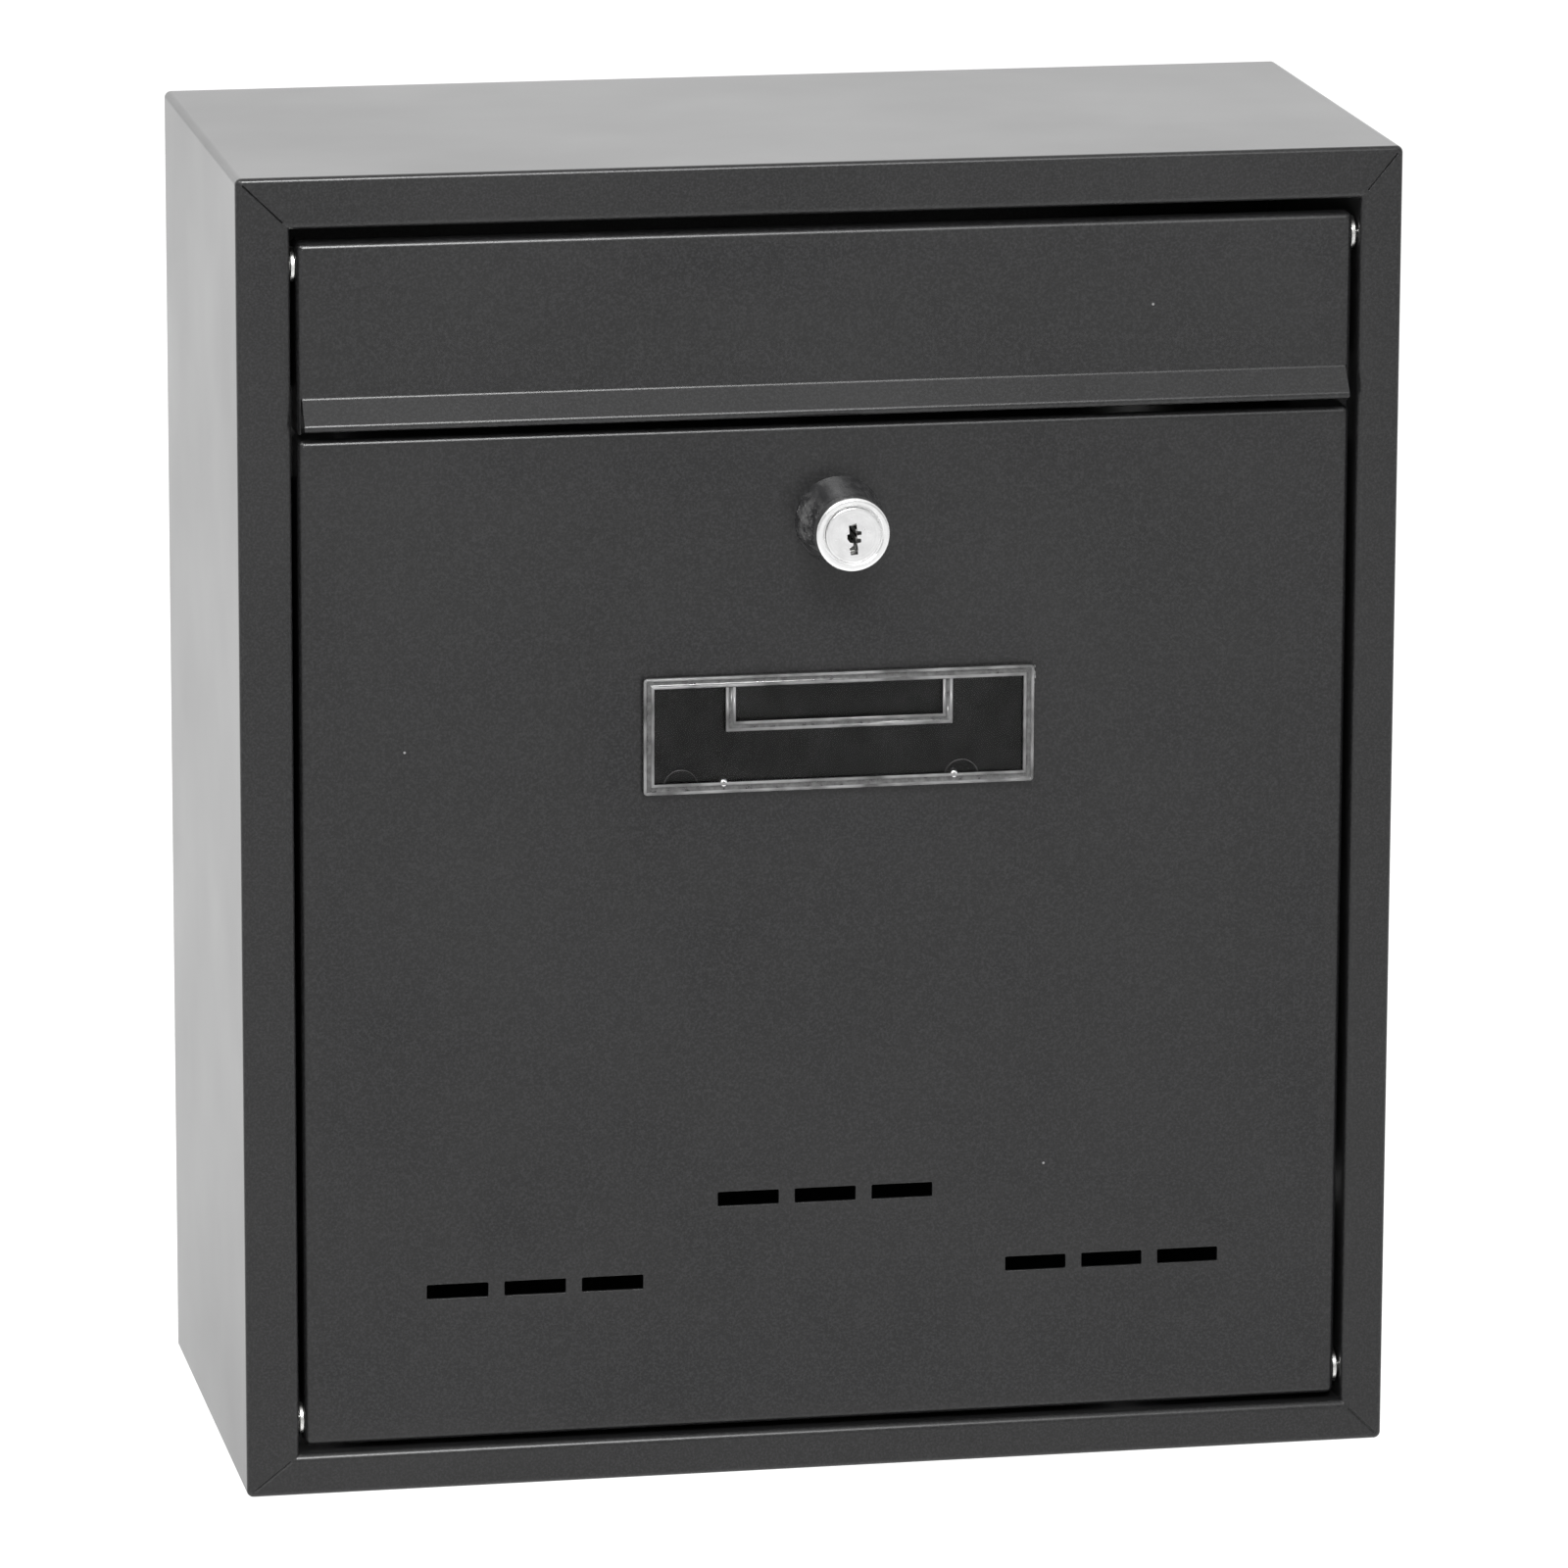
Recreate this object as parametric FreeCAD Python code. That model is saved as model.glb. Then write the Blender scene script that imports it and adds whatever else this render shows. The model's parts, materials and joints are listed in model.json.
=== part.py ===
import FreeCAD, Part
import math
import os

# Wall mounted letter box: folded sheet steel body with a letter flap above and a
# lockable door below.  Millimetres.  +X is to the right of someone facing the box,
# +Y points into the wall and +Z points up.  The origin is the centre of the four
# wall holes, on the outer face of the back panel.

V = FreeCAD.Vector

# ---- driving dimensions -------------------------------------------------------

# body
WIDTH = 310.0
HEIGHT = 355.0
DEPTH = 143.0
SHEET = 1.0                 # thickness of every steel sheet
SIDE_BEND_R = 1.8           # outside radius of the front-to-back bends
FRONT_BEND_R = 1.3          # outside radius of the bends round the front
FRAME_LEFT = 14.2           # widths of the front frame
FRAME_RIGHT = 11.3
FRAME_TOP = 13.75
FRAME_BOTTOM = 11.2
RETURN_DEPTH = 12.0         # depth of the frame's inner return
RETURN_BEND_R = 2.0         # outside radius of the bend into the return
TOP_SEAM = (0.5, 0.6)       # width and depth of the V-shaped mitre seams in the frame
BOTTOM_SEAM = (0.9, 0.35)

# back panel and its wall holes
BACK_FLANGE = 11.0
BACK_BEND_R = 1.5
BACK_CORNER_R = 2.5
SLIP = 0.05                 # slip fit of pieces that are nested in one another
HOLE_SPACING_X = 230.0
HOLE_SPACING_Z = 290.0
HOLE_R = 3.25

# flap and door leaves, both set back in the frame
RECESS = 2.0
SIDE_GAP = 1.7
LEAF_DEPTH = 10.0
LEAF_BEND_R = 1.8
FLAP_TOP = 17.7             # distances below the top of the body
FLAP_CREASE = 58.7
LIP_END = 66.3
LIP_HEM_END = 67.4
FLAP_SIDE_END = 68.0
DOOR_TOP = 69.65
DOOR_GAP_BOTTOM = 1.7       # between the door's lower edge and the frame
LIP_FORWARD = 6.0           # how far the lip leans out of the flap's face
LIP_HEM = 5.0               # length of the hem folded back under the lip
LIP_BEND_R = 1.2
LIP_NOTCH = 1.3             # relief between the lip and the flap's sides
FLAP_TOP_FLANGE = 5.0

# pivots of the flap and the door
PIN_R = 2.0
PIN_HEAD_R = 3.2
PIN_HEAD = 1.2
PIN_BEHIND_FACE = 5.5
PIN_BELOW_FLAP_TOP = 6.3
PIN_ABOVE_DOOR_END = 6.4
PIN_RUNNING = 0.08          # radial clearance of a pin in the frame's return
PIN_END_PLAY = 0.3
WASHER_R = 4.6
WASHER = 1.3

# cross rail behind the gap between flap and door
RAIL_CLEARANCE = 0.3
RAIL_TOP = 71.2
RAIL_BOTTOM = 81.0
RAIL_FLANGE = 12.7
RAIL_BEND_R = 1.5
RAIL_TAB_TOP = 57.0         # upright tabs at the rail's ends, which the flap rests on
RAIL_TAB_WIDE = 26.0
RAIL_TAB_CORNER_R = 3.0

# vent slots: three groups of three, placed from the middle of the door
SLOT_LENGTH = 16.6
SLOT_HEIGHT = 4.0
SLOT_PITCH = 20.9
SLOT_CORNER_R = 0.4
SLOT_GROUPS = ((-78.5, 301.1), (0.0, 279.3), (78.5, 301.1))

# lock and card holder share one upright line, a little right of the middle
FITTINGS_X = 4.3
LOCK_DOWN = 95.6
HOLDER_DOWN = 151.8

# card holder
HOLDER_WIDTH = 105.0
HOLDER_HEIGHT = 31.5
HOLDER_THICK = 2.6
HOLDER_CORNER_R = 1.0
HOLDER_RIM = 2.9
HOLDER_RIM_RAISE = 0.8      # the rim and the notch's ridge stand this far proud
HOLDER_WINDOW = 1.0
NOTCH_WIDTH = 61.0
NOTCH_DEEP = 15.0
NOTCH_RIDGE = 2.7
PEG_R = 1.2
PEG_HEAD_R = 2.2
PEG_HEAD = 0.8
PEG_SPACING = 62.0

# lock
COLLAR = 16.0
COLLAR_BASE_R = 11.8
COLLAR_TIP_R = 9.5
COLLAR_ROUND_R = 0.8
HEAD = 4.0
HEAD_R = 9.9
HEAD_ROUND_R = 1.0
BARREL_R = 8.5
BARREL_FLAT = 7.2           # distance of the barrel's flats from its axis
BARREL_END = 13.8           # behind the front of the body
THREAD_PITCH = 1.25
THREAD_DEPTH = 0.5
PLUG_FACE_R = 7.3
PLUG_FACE = 1.6
PLUG_FACE_GAP = 0.1
PLUG_FACE_EDGE = 0.35       # rounding of the face's edge
MOUTH_R = 8.2               # countersink in the head round the plug's face
MOUTH = 0.7
PLUG_PROUD = 0.15
PLUG_R = 5.92
PLUG_RUNNING = 0.08         # radial clearance of the plug in the barrel
PLUG_STEP = 0.1
TENON = 6.0                 # square end of the plug that drives the cam
KEYWAY_DEEP = 14.0
WAFER = 1.0
WAFER_WIDTH = 5.0
WAFER_TALL = 10.4
WAFER_PITCH = 2.0
WAFER_FIRST = 3.4           # behind the plug's face
WAFER_PLAY = 0.05
WAFER_WINDOW = 2.2          # opening that the key passes through
WAFER_WINDOW_TALL = 6.6
WAFER_CUTS = (-1.4, -1.1, -0.8, -1.4, -1.1)     # heights of the openings in the five wafers
TOOTH_WASHER_R = 12.6
TOOTH_WASHER = 0.8
TEETH = 16
NUT = 3.5
NUT_ACROSS_FLATS = 22.0
CAM = 2.0
CAM_FRONT = 14.3            # behind the front of the body
CAM_LENGTH = 22.0
CAM_WIDTH = 14.0
CAM_HUB_R = 8.0
SPRING_WASHER = 0.9
SPRING_WASHER_R = 4.4
SCREW_R = 2.0
SCREW_HEAD_R = 3.9
SCREW_HEAD = 2.5
SCREW_LENGTH = 8.0
SCREW_SLOT = 1.0
SCREW_RECESS = 0.65         # reach of its cross recess, as a share of the head's radius

# ---- positions that follow from them ------------------------------------------

SIDES = {"left": -1.0, "right": 1.0}
OPEN_X = (WIDTH - FRAME_LEFT - FRAME_RIGHT) / 2     # half the width of the opening
OPEN_MID = (FRAME_LEFT - FRAME_RIGHT) / 2           # its middle, seen from the body's
OPEN_TOP = HEIGHT / 2 - FRAME_TOP
OPEN_BOTTOM = -HEIGHT / 2 + FRAME_BOTTOM
LEAF_X = OPEN_X - SIDE_GAP
DOOR_END = OPEN_BOTTOM + DOOR_GAP_BOTTOM
PASS = 1.0                  # how far a cutting tool runs past what it cuts


def behind(distance):
    """Y of a plane this far behind the front of the body."""
    return distance - DEPTH


def below(distance):
    """Z of a level this far below the top of the body."""
    return HEIGHT / 2 - distance


FACE = behind(RECESS)
LEAF_BACK = behind(RECESS + LEAF_DEPTH)
PIN_Y = FACE + PIN_BEHIND_FACE
FLAP_PIN_Z = below(FLAP_TOP + PIN_BELOW_FLAP_TOP)
DOOR_PIN_Z = DOOR_END + PIN_ABOVE_DOOR_END
RAIL_FRONT = LEAF_BACK + RAIL_CLEARANCE
LOCK_Z = below(LOCK_DOWN)
HEAD_BACK = FACE - COLLAR
HEAD_FRONT = HEAD_BACK - HEAD
PLUG_FRONT = HEAD_FRONT - PLUG_PROUD


# ---- small helpers ------------------------------------------------------------

def block(x0, x1, y0, y1, z0, z1):
    return Part.makeBox(x1 - x0, y1 - y0, z1 - z0, V(x0, y0, z0))


def side_rod(radius, side, near, far, z):
    """Round bar on a pivot's axis, between two distances from the opening's middle."""
    start = OPEN_MID + min(side * near, side * far)
    return Part.makeCylinder(radius, far - near, V(start, PIN_Y, z), V(1, 0, 0))


def rod_y(radius, y0, y1, x=FITTINGS_X, z=LOCK_Z):
    return Part.makeCylinder(radius, y1 - y0, V(x, y0, z), V(0, 1, 0))


def edges_inside(shape, x0, x1, y0, y1, z0, z1, tolerance=0.01):
    """Edges that lie wholly inside a box."""
    room = FreeCAD.BoundBox(x0 - tolerance, y0 - tolerance, z0 - tolerance,
                            x1 + tolerance, y1 + tolerance, z1 + tolerance)
    return [edge for edge in shape.Edges if room.isInside(edge.BoundBox)]


def edges_along(shape, axis):
    """Straight edges parallel to an axis."""
    found = []
    for edge in shape.Edges:
        start = edge.valueAt(edge.FirstParameter)
        run = edge.valueAt(edge.LastParameter).sub(start)
        straight = abs(run.Length - edge.Length) < 1e-6
        if straight and run.Length > 0 and run.cross(axis).Length < 1e-6 * run.Length:
            found.append(edge)
    return found


def prism_x(points, x0, x1):
    """Extrude a closed outline of (y, z) points along X."""
    corners = [V(x0, y, z) for y, z in points]
    wire = Part.makePolygon(corners + corners[:1])
    return Part.Face(wire).extrude(V(x1 - x0, 0, 0))


def prism_y(points, y0, y1):
    """Extrude a closed outline of (x, z) points along Y."""
    corners = [V(x, y0, z) for x, z in points]
    wire = Part.makePolygon(corners + corners[:1])
    return Part.Face(wire).extrude(V(0, y1 - y0, 0))


def lock_frame(points):
    """Move (x, z) points from the lock's axis to their place on the box."""
    return [(FITTINGS_X + x, LOCK_Z + z) for x, z in points]


def open_pan(x, front, back, z0, z1, corner_r, bend_r):
    """A folded tray with its face at the front and flanges on all four sides."""
    tray = block(-x, x, front, back, z0, z1)
    tray = tray.makeFillet(corner_r, edges_along(tray, V(0, 1, 0)))
    tray = tray.makeFillet(bend_r, edges_inside(tray, -x, x, front, front, z0, z1))
    floor = front + SHEET
    inner = block(-x + SHEET, x - SHEET, floor, back + PASS, z0 + SHEET, z1 - SHEET)
    inner = inner.makeFillet(corner_r - SHEET, edges_along(inner, V(0, 1, 0)))
    bends = edges_inside(inner, -x, x, floor, floor, z0, z1)
    inner = inner.makeFillet(bend_r - SHEET, bends)
    return tray.cut(inner)


# ---- body ---------------------------------------------------------------------

def mitre_seam(side, z_open, z_corner, seam):
    """V-groove along one corner of the frame, from its inner bend to the outer one."""
    wide, deep = seam
    start = V(OPEN_MID + side * OPEN_X, behind(0), z_open)
    end = V(side * WIDTH / 2, behind(0), z_corner)
    along = end.sub(start).normalize()
    widest = (deep + PASS) / deep * wide / 2
    across = V(along.z, 0, -along.x) * widest
    first = start.add(along * (RETURN_BEND_R * math.sqrt(2)))
    length = end.sub(first).Length - SIDE_BEND_R * math.sqrt(2)
    lifted = first.sub(V(0, PASS, 0))
    corners = [lifted.add(across), first.add(V(0, deep, 0)), lifted.sub(across)]
    wire = Part.makePolygon(corners + corners[:1])
    return Part.Face(wire).extrude(along * length)


def make_body_shell():
    x, z = WIDTH / 2, HEIGHT / 2
    front = behind(0)
    outer = block(-x, x, front, 0, -z, z)
    outer = outer.makeFillet(SIDE_BEND_R, edges_along(outer, V(0, 1, 0)))
    outer = outer.makeFillet(FRONT_BEND_R, edges_inside(outer, -x, x, front, front, -z, z))
    hollow = block(-x + SHEET, x - SHEET, front + SHEET, PASS, -z + SHEET, z - SHEET)
    hollow = hollow.makeFillet(SIDE_BEND_R - SHEET, edges_along(hollow, V(0, 1, 0)))
    shell = outer.cut(hollow)
    left, right = OPEN_MID - OPEN_X, OPEN_MID + OPEN_X
    collar = block(left - SHEET, right + SHEET, front + SHEET / 2, behind(RETURN_DEPTH),
                   OPEN_BOTTOM - SHEET, OPEN_TOP + SHEET)
    opening = block(left, right, front - PASS, behind(RETURN_DEPTH) + PASS,
                    OPEN_BOTTOM, OPEN_TOP)
    shell = shell.fuse(collar).cut(opening).removeSplitter()
    inside = edges_inside(shell, left - SHEET, right + SHEET, front + SHEET, front + SHEET,
                          OPEN_BOTTOM - SHEET, OPEN_TOP + SHEET)
    shell = shell.makeFillet(RETURN_BEND_R - SHEET, inside)
    rim = edges_inside(shell, left, right, front, front, OPEN_BOTTOM, OPEN_TOP)
    shell = shell.makeFillet(RETURN_BEND_R, rim)
    for side in SIDES.values():
        shell = shell.cut(mitre_seam(side, OPEN_TOP, z, TOP_SEAM))
        shell = shell.cut(mitre_seam(side, OPEN_BOTTOM, -z, BOTTOM_SEAM))
    for pin_z in (FLAP_PIN_Z, DOOR_PIN_Z):
        for side in SIDES.values():
            bore = side_rod(PIN_R + PIN_RUNNING, side, OPEN_X - PASS, OPEN_X + SHEET + PASS, pin_z)
            shell = shell.cut(bore)
    return shell


def make_back_panel():
    x = WIDTH / 2 - SHEET - SLIP
    z = HEIGHT / 2 - SHEET - SLIP
    pan = open_pan(x, 0, BACK_FLANGE, -z, z, BACK_CORNER_R, BACK_BEND_R)
    pan.rotate(V(0, 0, 0), V(0, 0, 1), 180)
    for side_x in (-0.5, 0.5):
        for side_z in (-0.5, 0.5):
            hole = rod_y(HOLE_R, -BACK_FLANGE, PASS, side_x * HOLE_SPACING_X, side_z * HOLE_SPACING_Z)
            pan = pan.cut(hole)
    return pan


def make_cross_rail():
    x = WIDTH / 2 - SHEET
    back = RAIL_FRONT + RAIL_FLANGE
    top, bottom = below(RAIL_TOP), below(RAIL_BOTTOM)
    rail = block(-x, x, RAIL_FRONT, back, bottom, top)
    bends = edges_inside(rail, -x, x, RAIL_FRONT, RAIL_FRONT, top, top)
    rail = rail.makeFillet(RAIL_BEND_R, bends)
    inner = block(-x + SHEET, x - SHEET, RAIL_FRONT + SHEET, back + PASS, bottom - PASS, top - SHEET)
    y, z = RAIL_FRONT + SHEET, top - SHEET
    bends = edges_inside(inner, -x, x, y, y, z, z)
    inner = inner.makeFillet(RAIL_BEND_R - SHEET, bends)
    rail = rail.cut(inner)
    for side in SIDES.values():
        near, far = sorted((side * (x - RAIL_TAB_WIDE), side * x))
        tab = block(near, far, RAIL_FRONT, RAIL_FRONT + SHEET, top - RAIL_BEND_R, below(RAIL_TAB_TOP))
        corners = [edge for edge in edges_along(tab, V(0, 1, 0))
                   if edge.CenterOfMass.z > top and abs(edge.CenterOfMass.x) < x - SHEET]
        rail = rail.fuse(tab.makeFillet(RAIL_TAB_CORNER_R, corners))
    return rail.removeSplitter()


# ---- flap and door ------------------------------------------------------------

def make_lip():
    """The strip that leans out below the crease, with a hem folded back under it."""
    x = LEAF_X - LIP_NOTCH
    drop = LIP_END - FLAP_CREASE
    lean = math.hypot(LIP_FORWARD, drop)
    back_y, back_z = SHEET * drop / lean, SHEET * LIP_FORWARD / lean
    fold = below(FLAP_CREASE)
    tip_y, tip_z = FACE - LIP_FORWARD, below(LIP_END)
    hem_y, hem_z = tip_y + LIP_HEM, below(LIP_HEM_END)
    steep = SHEET * math.tan((math.pi / 2 - math.atan2(drop, LIP_FORWARD)) / 2)
    outline = [
        (FACE, fold + LEAF_BEND_R),
        (FACE, fold),
        (tip_y, tip_z),
        (hem_y, hem_z),
        (hem_y, hem_z + SHEET),
        (tip_y + back_y + back_z, tip_z - back_z + SHEET),
        (FACE + SHEET, fold - steep),
        (FACE + SHEET, fold + LEAF_BEND_R),
    ]
    lip = prism_x(outline, -x, x)
    crease = edges_inside(lip, -x, x, FACE, FACE, fold, fold)
    tip = edges_inside(lip, -x, x, tip_y, tip_y, tip_z, tip_z)
    return lip.makeFillet(LIP_BEND_R, crease + tip)


def make_flap_panel():
    top, fold, end = below(FLAP_TOP), below(FLAP_CREASE), below(FLAP_SIDE_END)
    flap = open_pan(LEAF_X, FACE, LEAF_BACK, end - LEAF_DEPTH, top, LEAF_BEND_R, LEAF_BEND_R)
    wide = LEAF_X + PASS
    flap = flap.cut(block(-wide, wide, FACE - PASS, LEAF_BACK + PASS, end - wide, end))
    inside = LEAF_X - SHEET
    flap = flap.cut(block(-inside, inside, FACE + FLAP_TOP_FLANGE, LEAF_BACK + PASS,
                          fold, top + PASS))
    flap = flap.cut(block(-inside, inside, FACE - PASS, LEAF_BACK, end - PASS, fold))
    flap = flap.fuse(make_lip()).removeSplitter()
    flap.translate(V(OPEN_MID, 0, 0))
    for side in SIDES.values():
        flap = flap.cut(side_rod(PIN_R, side, LEAF_X - SHEET - PASS, LEAF_X + PASS, FLAP_PIN_Z))
    return flap


def vent_slot(x, z):
    slot = block(x - SLOT_LENGTH / 2, x + SLOT_LENGTH / 2, FACE - PASS, FACE + SHEET + PASS,
                 z - SLOT_HEIGHT / 2, z + SLOT_HEIGHT / 2)
    return slot.makeFillet(SLOT_CORNER_R, edges_along(slot, V(0, 1, 0)))


def barrel_section(radius, flat, y0, y1):
    """A round bar with two upright flats, along the lock's axis."""
    bar = rod_y(radius, y0, y1)
    slab = block(FITTINGS_X - flat, FITTINGS_X + flat, y0, y1, LOCK_Z - radius, LOCK_Z + radius)
    return bar.common(slab)


def make_door_panel():
    door = open_pan(LEAF_X, FACE, LEAF_BACK, DOOR_END, below(DOOR_TOP), LEAF_BEND_R, LEAF_BEND_R)
    door.translate(V(OPEN_MID, 0, 0))
    for group_x, group_down in SLOT_GROUPS:
        for step in (-1, 0, 1):
            x = OPEN_MID + group_x + step * SLOT_PITCH
            door = door.cut(vent_slot(x, below(group_down)))
    door = door.cut(barrel_section(BARREL_R + SLIP, BARREL_FLAT + SLIP, FACE - PASS, FACE + 2 * PASS))
    for x, z in peg_places():
        door = door.cut(rod_y(PEG_R + SLIP, FACE - PASS, FACE + 2 * PASS, x, z))
    for side in SIDES.values():
        door = door.cut(side_rod(PIN_R, side, LEAF_X - SHEET - PASS, LEAF_X + PASS, DOOR_PIN_Z))
    return door


def make_pin(side, z):
    """Rivet: head inside the leaf's flange, shank through the frame, closed end behind it."""
    stations = [LEAF_X - SHEET - PIN_HEAD, LEAF_X - SHEET,
                OPEN_X + SHEET + PIN_END_PLAY, OPEN_X + SHEET + PIN_END_PLAY + PIN_HEAD]
    lengths = list(zip(stations, stations[1:]))
    pin = None
    for radius, span in zip((PIN_HEAD_R, PIN_R, PIN_HEAD_R), lengths):
        piece = side_rod(radius, side, span[0], span[1], z)
        pin = piece if pin is None else pin.fuse(piece)
    domes = []
    for edge in pin.Edges:
        station = abs(edge.CenterOfMass.x - OPEN_MID)
        if min(abs(station - stations[0]), abs(station - stations[-1])) < 0.01:
            domes.append(edge)
    return pin.makeFillet(PIN_HEAD / 2, domes)


def make_washer(side, z):
    ring = side_rod(WASHER_R, side, LEAF_X, LEAF_X + WASHER, z)
    ring = ring.makeFillet(WASHER / 4, ring.Edges[:1] + ring.Edges[2:])
    return ring.cut(side_rod(PIN_R + SLIP, side, LEAF_X - PASS, LEAF_X + WASHER + PASS, z))


# ---- card holder --------------------------------------------------------------

def peg_places():
    z = below(HOLDER_DOWN) - HOLDER_HEIGHT / 2 + HOLDER_RIM / 2 + PEG_R
    return [(FITTINGS_X + side * PEG_SPACING / 2, z) for side in (-1, 1)]


def make_card_holder():
    """Clear pocket: a raised rim, a thin window and a ridge round the thumb notch."""
    x0, x1 = FITTINGS_X - HOLDER_WIDTH / 2, FITTINGS_X + HOLDER_WIDTH / 2
    z0 = below(HOLDER_DOWN) - HOLDER_HEIGHT / 2
    z1 = z0 + HOLDER_HEIGHT
    front = FACE - HOLDER_THICK
    holder = block(x0, x1, front, FACE, z0, z1)
    holder = holder.makeFillet(HOLDER_CORNER_R, edges_along(holder, V(0, 1, 0)))
    rim = HOLDER_RIM
    window = front + HOLDER_RIM_RAISE
    sunk = block(x0 + rim, x1 - rim, front - PASS, window, z0 + rim, z1 - rim)
    notch_x = NOTCH_WIDTH / 2
    ridge = block(FITTINGS_X - notch_x, FITTINGS_X + notch_x, front - PASS, window,
                  z1 - NOTCH_DEEP, z1)
    bed_x = notch_x - NOTCH_RIDGE
    bed = block(FITTINGS_X - bed_x, FITTINGS_X + bed_x, front - PASS, window,
                z1 - NOTCH_DEEP + NOTCH_RIDGE, z1 - rim)
    holder = holder.cut(sunk.cut(ridge).fuse(bed))
    pocket = block(x0 + rim, x1 - rim, window + HOLDER_WINDOW, FACE + PASS, z0 + rim, z1 - rim)
    holder = holder.cut(pocket)
    for x, z in peg_places():
        peg = rod_y(PEG_R, window, FACE + SHEET, x, z)
        head = rod_y(PEG_HEAD_R, FACE + SHEET, FACE + SHEET + PEG_HEAD, x, z)
        holder = holder.fuse(peg).fuse(head)
    return holder.removeSplitter()


# ---- lock ---------------------------------------------------------------------

def make_lock_collar():
    length = FACE - HEAD_BACK
    cone = Part.makeCone(COLLAR_TIP_R, COLLAR_BASE_R, length, V(FITTINGS_X, HEAD_BACK, LOCK_Z),
                         V(0, 1, 0))
    tip = [edge for edge in cone.Edges if abs(edge.CenterOfMass.y - HEAD_BACK) < 0.01]
    cone = cone.makeFillet(COLLAR_ROUND_R, tip)
    return cone.cut(rod_y(BARREL_R + SLIP, HEAD_BACK - PASS, FACE + PASS))


def make_lock_housing():
    """Chrome head and threaded barrel, turned in one piece and bored for the plug."""
    thread_start = FACE + SHEET
    turns = int((behind(BARREL_END) - thread_start) / THREAD_PITCH)
    profile = [V(0, HEAD_FRONT, 0), V(HEAD_R, HEAD_FRONT, 0), V(HEAD_R, HEAD_BACK, 0),
               V(BARREL_R, HEAD_BACK, 0)]
    for turn in range(turns):
        y = thread_start + turn * THREAD_PITCH
        profile.append(V(BARREL_R, y, 0))
        profile.append(V(BARREL_R - THREAD_DEPTH, y + THREAD_PITCH / 2, 0))
    profile.append(V(BARREL_R, thread_start + turns * THREAD_PITCH, 0))
    profile.append(V(BARREL_R, behind(BARREL_END), 0))
    profile.append(V(0, behind(BARREL_END), 0))
    face = Part.Face(Part.makePolygon(profile + profile[:1]))
    body = face.revolve(V(0, 0, 0), V(0, 1, 0), 360)
    body.translate(V(FITTINGS_X, 0, LOCK_Z))
    head = rod_y(HEAD_R, HEAD_FRONT, HEAD_BACK)
    front = [edge for edge in head.Edges if abs(edge.CenterOfMass.y - HEAD_FRONT) < 0.01
             and abs(edge.CenterOfMass.x - FITTINGS_X) < 0.01]
    head = head.makeFillet(HEAD_ROUND_R, front)
    flats = block(FITTINGS_X - BARREL_FLAT, FITTINGS_X + BARREL_FLAT, HEAD_BACK,
                  behind(BARREL_END), LOCK_Z - HEAD_R, LOCK_Z + HEAD_R)
    body = body.common(head.fuse(flats))
    body = body.cut(rod_y(PLUG_R + PLUG_RUNNING, HEAD_FRONT - PASS, behind(BARREL_END) + PASS))
    bore_r = PLUG_FACE_R + PLUG_FACE_GAP
    body = body.cut(rod_y(bore_r, HEAD_FRONT - PASS, HEAD_FRONT + PLUG_FACE))
    mouth = Part.makeCone(MOUTH_R, bore_r, MOUTH, V(FITTINGS_X, HEAD_FRONT, LOCK_Z), V(0, 1, 0))
    return body.cut(mouth)


def keyway_outline():
    """Upright keyway with ward notches, about the plug's axis."""
    return lock_frame([(-1.3, 2.7), (0.8, 3.2), (0.9, 1.2), (2.1, 1.0), (2.1, 0.1), (0.9, -0.1),
                       (0.9, -0.8), (2.0, -1.0), (2.0, -1.9), (0.9, -2.2), (1.2, -3.4),
                       (1.2, -5.1), (-0.7, -5.3), (-1.1, -3.4), (-0.1, -2.8), (-0.1, -2.1),
                       (-1.0, -1.9), (-1.7, -0.9), (-1.7, 0.2), (-1.1, 0.4)])


def wafer_fronts():
    return [PLUG_FRONT + WAFER_FIRST + index * WAFER_PITCH for index in range(len(WAFER_CUTS))]


def make_lock_plug():
    shoulder = HEAD_FRONT + PLUG_FACE - PLUG_STEP
    shank_end = behind(BARREL_END) + PLUG_STEP
    plug = rod_y(PLUG_FACE_R, PLUG_FRONT, shoulder)
    rim = [edge for edge in plug.Edges if abs(edge.CenterOfMass.y - PLUG_FRONT) < 0.01]
    plug = plug.makeFillet(PLUG_FACE_EDGE, rim)
    plug = plug.fuse(rod_y(PLUG_R, shoulder, shank_end))
    half = TENON / 2
    tenon = block(FITTINGS_X - half, FITTINGS_X + half, shank_end,
                  behind(CAM_FRONT + CAM) - PLUG_STEP, LOCK_Z - half, LOCK_Z + half)
    plug = plug.fuse(tenon)
    plug = plug.cut(prism_y(keyway_outline(), PLUG_FRONT - PASS, PLUG_FRONT + KEYWAY_DEEP))
    for y in wafer_fronts():
        play = WAFER_WIDTH / 2 + WAFER_PLAY
        plug = plug.cut(block(FITTINGS_X - play, FITTINGS_X + play, y - WAFER_PLAY,
                              y + WAFER + WAFER_PLAY, LOCK_Z - HEAD_R, LOCK_Z + HEAD_R))
    screw_room = rod_y(SCREW_R + SLIP, behind(CAM_FRONT + CAM) - SCREW_LENGTH - PASS,
                       behind(CAM_FRONT + CAM))
    return plug.cut(screw_room).removeSplitter()


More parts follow.
